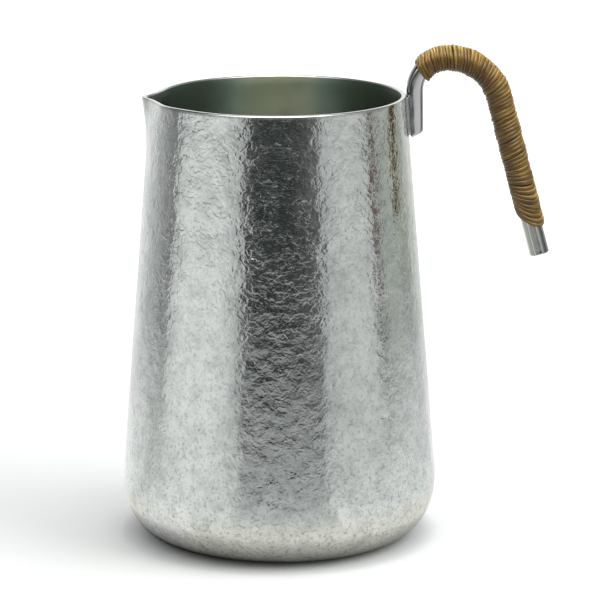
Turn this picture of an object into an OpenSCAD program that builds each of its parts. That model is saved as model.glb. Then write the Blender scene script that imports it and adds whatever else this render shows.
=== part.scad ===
// Tin sake warmer: a straight tapered cup with a rounded heel and a pinched lip,
// and a hook handle soldered to its rim and wound with one strip of split rattan.
// X points to the handle, the lip is at -X, Z is up. The origin is the centre of the base.

/* [Cup] */
// Height of the rim above the table
cup_h = 113.4; // [100:0.1:130]
// Outer radius at the rim
rim_r = 32.2; // [29:0.1:35]
// Outer radius where the straight wall meets the heel
heel_r = 40; // [37:0.1:43]
// Height of the rounded heel
heel_h = 17.2; // [12:0.1:22]
// Radius of the flat underside
foot_r = 28.2; // [24:0.1:32]
// Thickness of the wall
wall_t = 1.3; // [1:0.05:1.8]
// Thickness of the base
base_t = 2.2; // [1.6:0.1:4]
// Width of the polished bevel on both edges of the rim
rim_bevel = 0.3; // [0.15:0.05:0.4]

/* [Lip] */
// Height of the zone of the wall that is bent to form the lip
lip_h = 15; // [10:0.5:22]
// How far the tip of the lip stands out from the rim
lip_out = 2.2; // [1:0.1:3.5]
// How far the wall is pinched in on each side of the tip
lip_pinch = 0.3; // [0:0.1:1.5]
// How far the rim sinks at the lip
lip_drop = 0.35; // [0:0.05:1.5]
// Half angle of the tip, seen from above
lip_tip_a = 6.5; // [5:0.5:12]
// Angle from the tip to the deepest point of the pinch
lip_pinch_a = 18; // [15:0.5:25]

/* [Handle bar] */
// Diameter of the round part of the bar
bar_d = 5.1; // [4:0.1:6]
// Thickness of the flattened shank at its lower end
shank_t = 3.4; // [2.6:0.1:4.2]
// Thickness of the bar where the winding starts
neck_t = 4.3; // [3.2:0.1:4.8]
// Width of the flattened shank along the rim
shank_w = 6.4; // [5:0.1:8]
// Length of the shank below the rim
shank_drop = 9.9; // [7:0.1:13]
// How much less than the wall behind it the shank leans towards the cup
shank_lag = 1.4; // [0.5:0.1:2]
// Slant of the saw cut at the foot of the shank
shank_cut_a = 19; // [0:1:30]
// Height of the bar's centreline at the crown, above the rim
crown_h = 9.3; // [9.2:0.1:16]
// Radius of the bend on the cup's side of the crown
bend_in_r = 8.3; // [7.6:0.1:9]
// Radius of the bend on the outer side of the crown
bend_out_r = 13.4; // [11:0.1:15]
// Lean of the straight leg from the vertical
leg_lean = 14.9; // [5:0.1:25]
// Length of the straight leg
leg_l = 41.5; // [35:0.1:50]
// Rounding of the bar's free end
end_round = 0.3; // [0.2:0.1:0.8]

/* [Rattan winding] */
// Thickness of the split rattan strip
strip_t = 0.85; // [0.6:0.05:1]
// Number of turns
turns = 24; // [18:1:24]
// Gap between one turn and the next
turn_gap = 0.55; // [0.52:0.01:0.65]
// Arc of the inner bend that stays bare
bare_a = 34; // [26:1:60]
// Length of the free end that stays bare
bare_end = 9.5; // [6:0.1:14]
// How far the outside of the first turn lies ahead of its inside, seen from the front
first_lead = 2.2; // [0:0.1:3]
// The same for the turns between, whose outside lags behind
middle_lead = -1.6; // [-2.2:0.1:0]
// The same for the last turn
last_lead = 4.4; // [0:0.1:5]
// How far the front of the last turn sags towards the free end
last_sag = 1.1; // [0:0.1:1.5]

/* [Solder] */
// Thickness of the solder between the wall and the foot of the shank
solder_t = 0.15; // [0.1:0.01:0.3]
// How far the solder fillet runs out beside the shank
fillet_w = 0.9; // [0.5:0.1:1.2]

/* [Hidden] */
// Working clearance between the winding and the bar
wrap_gap = 0.1;
// Overrun of a cut past the face that it goes through
overrun = 1;
// Hairline by which the bent lip covers the edges of the round wall beside it, how far its
// hidden edges are tucked into that wall, and the share by which they are thinned there
lap = 0.02;
tuck = 0.4;
tuck_a = 1.5;
tuck_share = 0.5;
// Circle steps of the turned cup
round_n = 120;
// Shares of the heel's height and width along which its curve holds to wall and foot
heel_side_share = 0.54;
heel_foot_share = 0.70;
heel_steps = 14;
// Half angle of the sector of the wall that holds the lip
lip_half_a = 48;
// Half angles over which a pinch fades, and over which the rim sinks towards the lip
pinch_fade_a = 6;
drop_fade_a = 30;
// Power by which the lip fades into the wall below it
lip_fade = 1.7;
lip_steps = 48;
lip_rows = 8;
// Power that crowds the lip's steps towards its tip
lip_crowd = 1.2;
// Corner power of the bar's section: 2 is an ellipse, more is squarer
round_power = 2;
flat_power = 2.4;
// Share of the shank's thickness from its flat side to its widest place; the far side is domed
flat_side_share = 0.22;
bar_sides = 24;
bend_step_a = 9;
// Share of a leg's length for each of its rings
leg_step_share = 0.125;
// Winding: rings in a turn, and the bevel on the strip's edges as a share of its thickness
turn_rings = 24;
strip_bevel_share = 0.4;
// Angle round the bar where the strip starts: 0 is outside the bend, 90 is the back
first_a = 60;
// Shares of the winding's length over which the lead of the first and the last turns fades
first_lead_share = 0.22;
last_lead_share = 0.3;
// Top of the solder below the rim
solder_top_gap = 0.4;

wall_slope = (heel_r - rim_r) / (cup_h - heel_h);
function wall_r(z) = rim_r + wall_slope * (cup_h - z);
function mix(a, b, u) = a + (b - a) * u;
function smooth(u) = let (v = min(max(u, 0), 1)) v * v * (3 - 2 * v);

// Cup profile: a cubic curve from the wall (r, z) round to the flat foot, at a given inset
function cubic(a, b, c, d, u) =
    pow(1 - u, 3) * a + 3 * u * pow(1 - u, 2) * b + 3 * u * u * (1 - u) * c + pow(u, 3) * d;
function heel_curve(r_top, z_low) =
    let (side = (heel_h - z_low) * heel_side_share, foot = (r_top - foot_r) * heel_foot_share)
    [for (i = [0:heel_steps])
        cubic([r_top, heel_h], [r_top + wall_slope * side, heel_h - side],
              [foot_r + foot, z_low], [foot_r, z_low], i / heel_steps)];
function reversed(list) = [for (i = [len(list) - 1:-1:0]) list[i]];

// Lip: how far the wall moves out at an angle from the tip, and how much of that at a height
lip_z = cup_h - lip_h;
function bell(u) = exp(-u * u);
function lip_window(a) = smooth((lip_half_a - abs(a)) / drop_fade_a);
function lip_move(a) = lip_window(a)
    * (lip_out * bell(a / lip_tip_a) - lip_pinch * bell((abs(a) - lip_pinch_a) / pinch_fade_a));
function lip_part(z) = pow(max(z - lip_z, 0) / lip_h, lip_fade);
function lip_top(a) = cup_h - lip_drop * lip_window(a);

// Section of the bent wall at one angle, as points (r, z) round it from its lower outer edge
function wall_mid(z) = wall_r(z) - wall_t / 2;
function lip_section(a) =
    let (top = lip_top(a) + lap, move = lip_move(a), low = top - rim_bevel,
         rows = [for (i = [0:lip_rows]) mix(lip_z, low, i / lip_rows)],
         tuck_z = lip_z - tuck, tuck_t = wall_t * (1 - tuck_share),
         outer = [for (z = rows) [wall_r(z) + lap + move * lip_part(z), z]],
         inner = [for (z = rows) [wall_r(z) - wall_t - lap + move * lip_part(z), z]],
         rim = wall_r(top) + move * lip_part(top))
    concat([[wall_mid(tuck_z) + tuck_t / 2, tuck_z]], outer,
           [[rim + lap - rim_bevel, top], [rim - wall_t - lap + rim_bevel, top]],
           reversed(inner), [[wall_mid(tuck_z) - tuck_t / 2, tuck_z]]);
// The section at the lip's two ends, drawn into the wall
function tucked(section) =
    [for (p = section)
        [mix(p[0], wall_mid(p[1]), tuck_share), p[1] - tuck * max(p[1] - lip_z, 0) / lip_h]];

// Joins rings of equal length into one closed skin of triangles
module skin(rings) {
    n = len(rings[0]);
    last = len(rings) - 1;
    polyhedron(
        points = [for (ring = rings, p = ring) p],
        faces = concat(
            [[for (k = [n - 1:-1:0]) k]],
            [for (i = [0:last - 1], k = [0:n - 1])
                [i * n + k, (i + 1) * n + (k + 1) % n, (i + 1) * n + k]],
            [for (i = [0:last - 1], k = [0:n - 1])
                [i * n + k, i * n + (k + 1) % n, (i + 1) * n + (k + 1) % n]],
            [[for (k = [0:n - 1]) last * n + k]]));
}

// Centreline of the bar in the XZ plane: shank, inner bend, outer bend, leg
rad = PI / 180;
shank_lean = atan(wall_slope) - shank_lag;
shank_z = cup_h - shank_drop;
crown_z = cup_h + crown_h;
shank_x = wall_r(shank_z) + solder_t + shank_t / 2;
shank_l = (crown_z - bend_in_r * (1 + sin(shank_lean)) - shank_z) / cos(shank_lean);
in_end = shank_l + bend_in_r * (90 + shank_lean) * rad;
out_end = in_end + bend_out_r * (90 - leg_lean) * rad;
bar_l = out_end + leg_l;
function turned(a) = [cos(a), sin(a)];
in_start_p = [shank_x, shank_z] + shank_l * turned(90 + shank_lean);
in_centre = in_start_p - bend_in_r * turned(180 + shank_lean);
out_centre = in_centre + [0, bend_in_r - bend_out_r];
out_end_p = out_centre + bend_out_r * turned(leg_lean);
function heading(s) =
    s < shank_l ? 90 + shank_lean
    : s < in_end ? (in_end - s) / bend_in_r / rad
    : s < out_end ? (in_end - s) / bend_out_r / rad
    : leg_lean - 90;
function bar_p(s) =
    s < shank_l ? [shank_x, shank_z] + s * turned(90 + shank_lean)
    : s < in_end ? in_centre + bend_in_r * turned(heading(s) + 90)
    : s < out_end ? out_centre + bend_out_r * turned(heading(s) + 90)
    : out_end_p + (s - out_end) * turned(leg_lean - 90);
// Curvature, 1 over the radius of the bend
function bend(s) = s < shank_l || s > out_end ? 0 : 1 / (s < in_end ? bend_in_r : bend_out_r);
// A point of the bar's frame: s along it, n out of the bend, y across it
function at_bar(s, n, y, along = 0) =
    let (p = bar_p(s) + n * turned(heading(s) + 90) + along * turned(heading(s)))
    [p[0], y, p[1]];

// Section of the bar along it: its thickness, the part of that on the flat side, which faces
// the cup and then out of the bend, its half width and its corner power
wrap_s = shank_l + bend_in_r * bare_a * rad;
function bar_t(s) =
    lookup(s, [[0, shank_t], [shank_l, neck_t], [wrap_s, neck_t], [in_end, bar_d]]);
function bar_flat_t(s) = bar_t(s) * lookup(s, [[shank_l, flat_side_share], [in_end, 1 / 2]]);
function bar_half_w(s) = lookup(s, [[0, shank_w], [shank_l, shank_w], [in_end, bar_d]]) / 2;
function bar_power(s) = lookup(s, [[shank_l, flat_power], [in_end, round_power]]);
function corner(v, power) = sign(v) * pow(abs(v), 2 / power);
function bar_edge(s, a, grow = 0) =
    let (flat = bar_flat_t(s), reach = cos(a) > 0 ? flat : bar_t(s) - flat)
    [bar_t(s) / 2 - flat + (reach + grow) * corner(cos(a), bar_power(s)),
     (bar_half_w(s) + grow) * corner(sin(a), bar_power(s))];

// A ring of the bar, drawn in by inset, and slanted by the saw cut at its foot
function bar_ring(s, inset = 0, cut_a = 0) =
    [for (k = [0:bar_sides - 1])
        let (e = bar_edge(s, 360 * k / bar_sides, -inset)) at_bar(s, e[0], e[1], -e[0] * tan(cut_a))];
bar_stations = concat(
    [shank_l / 2, shank_l],
    [for (a = [bend_step_a:bend_step_a:90]) shank_l + (in_end - shank_l) * a / 90],
    [for (a = [bend_step_a:bend_step_a:90]) in_end + (out_end - in_end) * a / 90],
    [for (u = [leg_step_share:leg_step_share:1 - leg_step_share]) out_end + leg_l * u]);
bar_rings = concat(
    [bar_ring(0, end_round / 2, shank_cut_a), bar_ring(end_round, 0, shank_cut_a)],
    [for (s = bar_stations) bar_ring(s)],
    [bar_ring(bar_l - end_round), bar_ring(bar_l - end_round / 3, end_round / 3),
     bar_ring(bar_l, end_round)]);

// Winding: one strip that climbs along the bar as it goes round, flat side in
wrap_l = bar_l - bare_end - wrap_s;
pitch = wrap_l / (turns + 1);
function strip_a(k) = first_a - 360 * k / turn_rings;
// Slant of the turns at a share of the winding, to each side of their middle: half of their
// lead, with the half pitch that the strip gains between its outside and its inside
function first_part(u) = 1 - smooth(u / first_lead_share);
function last_part(u) = smooth((u - 1 + last_lead_share) / last_lead_share);
function slant(u) =
    let (lead = mix(mix(middle_lead, first_lead, first_part(u)), last_lead, last_part(u)))
    (lead + pitch / 2) / 2;
// How far a ring lies along the bar from the middle of its turn
function strip_shift(u, a) = slant(u) * cos(a) - last_sag * last_part(u) * sin(a);
function strip_s(k) =
    let (u = k / (turns * turn_rings))
    wrap_s + pitch / 2 + u * (wrap_l - pitch) + strip_shift(u, strip_a(k));
// Room that the strip has along the bar at a ring: the step to the next turn, where the bend
// crowds it most, less the gap
function strip_w(k) =
    let (s = strip_s(k), a = strip_a(k), half = turn_rings / 2,
         before = (k - half) / (turns * turn_rings), after = (k + half) / (turns * turn_rings),
         step = (wrap_l - pitch) / turns + strip_shift(after, a) - strip_shift(before, a),
         out = bar_edge(s, a, wrap_gap + strip_t / 2)[0])
    step * min([for (side = [-1:1]) 1 + out * bend(s + side * pitch / 2)]) - turn_gap;
function strip_ring(k) =
    let (s = strip_s(k), a = strip_a(k), w = strip_w(k) / 2, b = strip_t * strip_bevel_share,
         low = bar_edge(s, a, wrap_gap), mid = bar_edge(s, a, wrap_gap + strip_t / 2),
         top = bar_edge(s, a, wrap_gap + strip_t))
    [at_bar(s, top[0], top[1], b - w), at_bar(s, top[0], top[1], w - b), at_bar(s, mid[0], mid[1], w),
     at_bar(s, low[0], low[1], w - b), at_bar(s, low[0], low[1], b - w), at_bar(s, mid[0], mid[1], -w)];
strip_rings = [for (k = [0:turns * turn_rings]) strip_ring(k)];
function least_gap(rings) =
    min([for (i = [0:len(rings) - turn_rings - 2], j = [turn_rings - 1:turn_rings + 1],
              p = rings[i], q = rings[i + j]) norm(p - q)]);

module turned_cup() {
    rotate_extrude($fn = round_n)
        polygon(concat(
            [[0, 0]],
            reversed(heel_curve(heel_r, 0)),
            [[wall_r(cup_h - rim_bevel), cup_h - rim_bevel], [rim_r - rim_bevel, cup_h],
             [rim_r - wall_t + rim_bevel, cup_h],
             [wall_r(cup_h - rim_bevel) - wall_t, cup_h - rim_bevel]],
            heel_curve(heel_r - wall_t, base_t),
            [[0, base_t]]));
}

module lip_sector() {
    reach = heel_r + overrun;
    side = reach * tan(lip_half_a);
    translate([0, 0, lip_z])
        linear_extrude(lip_h + overrun)
            polygon([[0, 0], [-reach, side], [-reach, -side]]);
}

module bent_lip() {
    steps = [for (i = [-lip_steps / 2:lip_steps / 2])
        let (u = 2 * i / lip_steps) lip_half_a * sign(u) * pow(abs(u), lip_crowd)];
    end_a = lip_half_a + tuck_a;
    places = concat([[-end_a, tucked(lip_section(-end_a))]],
                    [for (a = steps) [a, lip_section(a)]],
                    [[end_a, tucked(lip_section(end_a))]]);
    skin([for (place = places)
        let (a = place[0]) [for (p = place[1]) [-p[0] * cos(a), -p[0] * sin(a), p[1]]]]);
}

module cup() {
    color([0.75, 0.76, 0.77]) {
        difference() {
            turned_cup();
            lip_sector();
        }
        bent_lip();
    }
}

module handle_bar() {
    color([0.66, 0.68, 0.71]) skin(bar_rings);
}

module solder_joint() {
    low_z = shank_z + end_round;
    height = shank_drop - solder_top_gap - end_round;
    half_w = shank_w / 2;
    inner_x = rim_r - wall_t;
    color([0.82, 0.83, 0.85])
        difference() {
            translate([0, 0, low_z])
                linear_extrude(height)
                    polygon([[inner_x, half_w + fillet_w], [inner_x, -half_w - fillet_w],
                             [shank_x - shank_t / 4, -half_w], [shank_x - shank_t / 4, half_w]]);
            cylinder(h = cup_h, r1 = wall_r(0), r2 = rim_r, $fn = 4 * round_n);
            handle_bar();
        }
}

module rattan_winding() {
    echo(least_gap_between_turns = least_gap(strip_rings));
    color([0.60, 0.47, 0.28]) skin(strip_rings);
}

cup();
handle_bar();
solder_joint();
rattan_winding();
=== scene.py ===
"""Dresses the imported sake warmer: a chased tin cup with a rattan-wound hook handle.

Lengths of the object are in millimetres and are turned into metres where a mesh or a node is made.
Lengths of the stage are in metres. Names that end in _A hold angles in degrees.
X points to the handle, the lip is at -X, and the camera looks along +Y.
"""

import math

import bmesh
import bpy
import numpy as np
from mathutils import Euler, Matrix, Vector


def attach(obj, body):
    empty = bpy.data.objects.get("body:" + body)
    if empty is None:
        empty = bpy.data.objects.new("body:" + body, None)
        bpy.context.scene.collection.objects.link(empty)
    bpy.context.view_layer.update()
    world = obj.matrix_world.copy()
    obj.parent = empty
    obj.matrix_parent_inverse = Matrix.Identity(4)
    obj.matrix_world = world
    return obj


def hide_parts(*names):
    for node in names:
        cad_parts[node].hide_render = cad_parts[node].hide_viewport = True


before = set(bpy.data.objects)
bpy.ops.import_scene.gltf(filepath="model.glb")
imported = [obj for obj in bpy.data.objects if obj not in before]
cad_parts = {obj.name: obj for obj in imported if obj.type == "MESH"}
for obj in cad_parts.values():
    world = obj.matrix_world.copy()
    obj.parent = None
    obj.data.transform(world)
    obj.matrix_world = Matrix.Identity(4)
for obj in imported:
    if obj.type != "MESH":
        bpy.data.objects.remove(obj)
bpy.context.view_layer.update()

MM = 0.001
BODY = "root"

# The cup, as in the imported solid
CUP_H = 113.4
RIM_R = 32.2
HEEL_R = 40.0
HEEL_H = 17.2
FOOT_R = 28.2
WALL_T = 1.3
BASE_T = 2.2
RIM_BEVEL = 0.3
HEEL_SIDE_SHARE = 0.54
HEEL_FOOT_SHARE = 0.70

# Its lip: how far it is drawn out, pinched beside the tip and lowered, and how these fade
LIP_H = 15.0
LIP_OUT = 2.2
LIP_PINCH = 0.3
LIP_DROP = 0.35
LIP_TIP_A = 6.5
LIP_PINCH_A = 18.0
LIP_HALF_A = 48.0
PINCH_FADE_A = 6.0
DROP_FADE_A = 30.0
LIP_FADE = 1.7

# The bar of the handle and its solder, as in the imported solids
BAR_D = 5.1
SHANK_T = 3.4
NECK_T = 4.3
SHANK_W = 6.4
SHANK_DROP = 9.9
SHANK_LAG = 1.4
SHANK_CUT_A = 19.0
CROWN_H = 9.3
BEND_IN_R = 8.3
BEND_OUT_R = 13.4
LEG_LEAN = 14.9
LEG_L = 41.5
END_ROUND = 0.3
ROUND_POWER = 2.0
FLAT_POWER = 3.4
FLAT_TAPER = 0.30
FLAT_SIDE_SHARE = 0.22
SOLDER_T = 0.15
FILLET_W = 0.9
# How much the bar is slimmer here, to stay inside its solid
BAR_FIT = 0.01

# The winding: the room for the strip, the bare bar before and after it, and how its turns lie
WRAP_GAP = 0.1
STRIP_T = 0.85
BARE_A = 35.0
BARE_END = 9.1
FIRST_A = 60.0
FIRST_LEAD = 2.2
MIDDLE_LEAD = -1.6
LAST_LEAD = 3.9
LAST_SAG = 1.5
FIRST_LEAD_SHARE = 0.22
LAST_LEAD_SHARE = 0.3


# Smooth noise for the meshes

NOISE_CELLS = 256
NOISE_GAIN = 1.6
rng = np.random.default_rng(7)
NOISE_TABLE = rng.permutation(NOISE_CELLS)
directions = rng.normal(size=(NOISE_CELLS, 3))
NOISE_GRADIENTS = directions / np.linalg.norm(directions, axis=1)[:, None]


def noise(points, seed=0):
    """Gradient noise of an (n, 3) array of points, about -1 to 1."""
    cell = np.floor(points).astype(int)
    inside = points - cell
    fade = inside**3 * (inside * (inside * 6 - 15) + 10)
    total = np.zeros(len(points))
    for corner in np.ndindex(2, 2, 2):
        at = (cell + corner) % NOISE_CELLS
        index = NOISE_TABLE[(at[:, 0] + seed * 37) % NOISE_CELLS]
        index = NOISE_TABLE[(index + at[:, 1]) % NOISE_CELLS]
        index = NOISE_TABLE[(index + at[:, 2]) % NOISE_CELLS]
        weight = np.where(corner, fade, 1 - fade).prod(axis=1)
        total += weight * (NOISE_GRADIENTS[index] * (inside - corner)).sum(axis=1)
    return total * NOISE_GAIN


def line_noise(values, seed=0):
    """The same noise along one line."""
    values = np.asarray(values, float)
    points = np.stack([values, np.full_like(values, 0.37), np.full_like(values, seed + 0.61)], axis=-1)
    return noise(points.reshape(-1, 3), seed).reshape(values.shape)


def smooth_step(value):
    value = np.clip(value, 0, 1)
    return value * value * (3 - 2 * value)


def bell(value):
    return np.exp(-value * value)


# Shape of the cup

WALL_SLOPE = (HEEL_R - RIM_R) / (CUP_H - HEEL_H)


def wall_r(z):
    return RIM_R + WALL_SLOPE * (CUP_H - z)


def cubic(a, b, c, d, u):
    return (1 - u) ** 3 * a + 3 * u * (1 - u) ** 2 * b + 3 * u * u * (1 - u) * c + u**3 * d


def heel_curve(top_r, low_z, steps):
    """Points (r, z) from the wall round to the flat foot."""
    side = (HEEL_H - low_z) * HEEL_SIDE_SHARE
    foot = (top_r - FOOT_R) * HEEL_FOOT_SHARE
    u = np.linspace(0, 1, steps + 1)[:, None]
    return cubic(
        np.array([top_r, HEEL_H]),
        np.array([top_r + WALL_SLOPE * side, HEEL_H - side]),
        np.array([FOOT_R + foot, low_z]),
        np.array([FOOT_R, low_z]),
        u,
    )


def lip_window(angle):
    return smooth_step((LIP_HALF_A - np.abs(angle)) / DROP_FADE_A)


def lip_move(angle, z):
    """How far the wall stands out at an angle from the lip's tip, in degrees, and a height."""
    tip = LIP_OUT * bell(angle / LIP_TIP_A)
    pinch = LIP_PINCH * bell((np.abs(angle) - LIP_PINCH_A) / PINCH_FADE_A)
    part = (np.maximum(z - CUP_H + LIP_H, 0) / LIP_H) ** LIP_FADE
    return lip_window(angle) * (tip - pinch) * part


def lip_drop(angle, z):
    """How far a point of the wall sinks with the rim towards the lip."""
    return LIP_DROP * lip_window(angle) * np.maximum(z - CUP_H + LIP_H, 0) / LIP_H


# The chased surface: its mean depth below the solid's wall, and the height of each form on it
CHASED_DEPTH = 0.070
DENT_SIZE, DENT_H = 2.9, 0.036
RIDGE_H = 0.026
GROOVE_H = 0.022
SWIRL_SIZE, SWIRL = 2.6, 0.9
# Its soft lines: (noise seed, size, width in noise levels, size of their patches, how full these are)
RIDGES = (3, 2.0, 0.28, 4.5, 0.5)
GROOVES = (5, 1.7, 0.30, 4.0, 0.3)
PATCH_CONTRAST = 1.6


def soft_lines(points, bent, seed, size, width, patch_size, fullness):
    """Soft lines along the zeros of a noise, which come and go in patches: 0 to 1."""
    patches = smooth_step(noise(points / patch_size, seed + 1) * PATCH_CONTRAST + fullness)
    return bell(noise(bent / size, seed) / width) * patches


def relief(points):
    """Height of the chased surface at points, never above the solid: broad dents, ridges and grooves."""
    swirl = np.stack([noise(points / SWIRL_SIZE, seed) for seed in (11, 12, 13)], axis=1)
    bent = points + SWIRL * swirl
    dents = DENT_H * noise(bent / DENT_SIZE, 1)
    ridges = RIDGE_H * soft_lines(points, bent, *RIDGES)
    grooves = GROOVE_H * soft_lines(points, bent, *GROOVES)
    return np.minimum(-CHASED_DEPTH + dents + ridges - grooves, 0.0)


# Mesh helpers


def make_object(name, points, faces, materials, face_materials=None):
    """A smooth mesh object from points in millimetres, with its normals pointing out."""
    mesh = bpy.data.meshes.new(name)
    mesh.from_pydata((np.asarray(points) * MM).tolist(), [], faces)
    for material in materials:
        mesh.materials.append(material)
    if face_materials is not None:
        mesh.polygons.foreach_set("material_index", face_materials)
    mesh.polygons.foreach_set("use_smooth", [True] * len(mesh.polygons))
    work = bmesh.new()
    work.from_mesh(mesh)
    bmesh.ops.recalc_face_normals(work, faces=work.faces)
    work.to_mesh(mesh)
    work.free()
    return add_object(name, mesh)


def add_object(name, data):
    """An object of this mesh, lamp or camera, linked to the scene."""
    added = bpy.data.objects.new(name, data)
    bpy.context.scene.collection.objects.link(added)
    return added


def band(low, low_n, high, high_n):
    """Faces between two closed rings of points, where one may have a whole multiple of the other's."""
    faces = []
    if low_n == high_n:
        for j in range(low_n):
            k = (j + 1) % low_n
            faces.append((low + j, low + k, high + k, high + j))
        return faces
    few, few_n, many, many_n = (low, low_n, high, high_n) if low_n < high_n else (high, high_n, low, low_n)
    ratio = many_n // few_n
    for j in range(few_n):
        start = j * ratio
        for k in range(ratio):
            faces.append((few + j, many + start + k, many + (start + k + 1) % many_n))
        faces.append((few + j, many + (start + ratio) % many_n, few + (j + 1) % few_n))
    return faces


def tube_faces(rings, sides):
    """Faces of a closed tube whose points come ring by ring."""
    faces = []
    for i in range(rings - 1):
        faces.extend(band(i * sides, sides, (i + 1) * sides, sides))
    faces.append(tuple(range(sides)))
    faces.append(tuple((rings - 1) * sides + k for k in range(sides)))
    return faces


# Materials


class Nodes:
    """Short calls that add and join the nodes of one material or world."""

    def __init__(self, tree):
        self.tree = tree

    def add(self, kind, *inputs, **settings):
        node = self.tree.nodes.new("ShaderNode" + kind)
        for key, value in settings.items():
            setattr(node, key, value)
        for index, value in enumerate(inputs):
            self.put(node.inputs[index], value)
        return node

    def put(self, socket, value):
        if isinstance(value, bpy.types.NodeSocket):
            self.tree.links.new(value, socket)
        elif value is not None:
            socket.default_value = value

    def math(self, operation, *inputs):
        return self.add("Math", *inputs, operation=operation).outputs[0]

    def vector(self, operation, first, second=None, scale=None):
        node = self.add("VectorMath", first, second, operation=operation)
        if scale is not None:
            self.put(node.inputs["Scale"], scale)
        return node.outputs[0]

    def length(self, vector):
        return self.add("VectorMath", vector, operation="LENGTH").outputs["Value"]

    def split(self, vector):
        """The x, y and z of a vector."""
        return self.add("SeparateXYZ", vector).outputs

    def remap(self, value, low, high, at_low, at_high, **settings):
        """Goes from at_low to at_high while the value goes from low to high, and stays there beyond."""
        return self.add("MapRange", value, low, high, at_low, at_high, **settings).outputs[0]

    def noise(self, vector, size, detail=2.0, roughness=0.5, output=0):
        """Noise from 0 to 1 whose features measure size, in millimetres."""
        node = self.add("TexNoise")
        self.put(node.inputs["Vector"], vector)
        self.put(node.inputs["Scale"], 1 / (size * MM))
        self.put(node.inputs["Detail"], detail)
        self.put(node.inputs["Roughness"], roughness)
        return node.outputs[output]

    def lines(self, level, width, height=1.0, **settings):
        """Lines of this height where a noise crosses its middle, as wide as width in its levels."""
        away = self.math("ABSOLUTE", self.math("SUBTRACT", level, 0.5))
        return self.remap(away, 0.0, width, height, 0.0, **settings)

    def scaled(self, vector, scale):
        """Coordinates scaled on each axis: less than 1 draws a texture out along it."""
        node = self.add("Mapping", vector)
        self.put(node.inputs["Scale"], scale)
        return node.outputs[0]

    def facing(self, axis):
        """How far the surface faces along an axis of the object: 0 against it, 1 along it."""
        normal = self.add("TexCoord").outputs["Normal"]
        return self.remap(self.split(normal)[axis], -1.0, 1.0, 0.0, 1.0)

    def ramp(self, value, stops):
        """A colour ramp from (place, grey or colour) stops."""
        node = self.add("ValToRGB", value)
        elements = node.color_ramp.elements
        while len(elements) < len(stops):
            elements.new(0.5)
        for element, (place, colour) in zip(elements, stops):
            element.position = place
            shade = (colour,) * 3 if isinstance(colour, (int, float)) else colour
            element.color = (*shade, 1)
        return node.outputs[0]

    def blend(self, factor, first, second):
        node = self.add("Mix", data_type="RGBA")
        self.put(node.inputs["Factor"], factor)
        self.put(node.inputs["A"], first)
        self.put(node.inputs["B"], second)
        return node.outputs["Result"]

    def bump(self, height, depth, normal=None):
        """A bump whose height from 0 to 1 stands for depth, in millimetres."""
        node = self.add("Bump")
        self.put(node.inputs["Height"], height)
        self.put(node.inputs["Distance"], depth * MM)
        self.put(node.inputs["Normal"], normal)
        return node.outputs["Normal"]


def new_material(name):
    """A material with its nodes helper, its shader and its object coordinates."""
    material = bpy.data.materials.new(name)
    material.use_nodes = True
    nodes = Nodes(material.node_tree)
    shader = material.node_tree.nodes["Principled BSDF"]
    place = nodes.add("TexCoord").outputs["Object"]
    return material, nodes, shader, place


# Creases of the tin: (size, width of the lines in noise levels, height, where along X the noise is read)
CREASES = ((2.3, 0.17, 0.62, 0.0), (1.0, 0.20, 0.34, 31.0), (1.6, 0.15, -0.52, 67.0))
CREASE_SWIRL_SIZE, CREASE_SWIRL = 1.5, 1.3
CREASE_PATCH_SIZE = 5.5
# Creases are softer near the heel, and end below the rim
SOFT_Z, SOFT_SHARE = 42.0, 0.34
CRISP_Z, CRISP_SHARE = 85.0, 0.94
CREASE_END_DROP, BARE_RIM_DROP = 1.6, 0.4
# The patch below the rim in front that has few creases and shows the lines of the rolled sheet
CALM_X = 1.5
CALM_HALF_W, CALM_END_W = 5.5, 9.9
CALM_LOW_Z, CALM_FULL_Z = 84.0, 100.0
CALM = 0.13
ROLLED_DRAW = (0.12, 0.12, 1.0)
ROLLED_SIZE, ROLLED_W, ROLLED_H = 0.9, 0.05, 0.9
ROLLED_PATCH_SIZE = 2.5


def rolled_lines(nodes, place, calm):
    """Height of the fine level lines that rolling left on the sheet, in the calm patch alone."""
    drawn = nodes.scaled(place, ROLLED_DRAW)
    lines = nodes.lines(nodes.noise(drawn, ROLLED_SIZE, detail=1.0), ROLLED_W, ROLLED_H)
    few = nodes.remap(nodes.noise(drawn, ROLLED_PATCH_SIZE, detail=0.0), 0.46, 0.60, 0.0, 1.0)
    return nodes.math("MULTIPLY", nodes.math("MULTIPLY", lines, few), calm)


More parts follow.
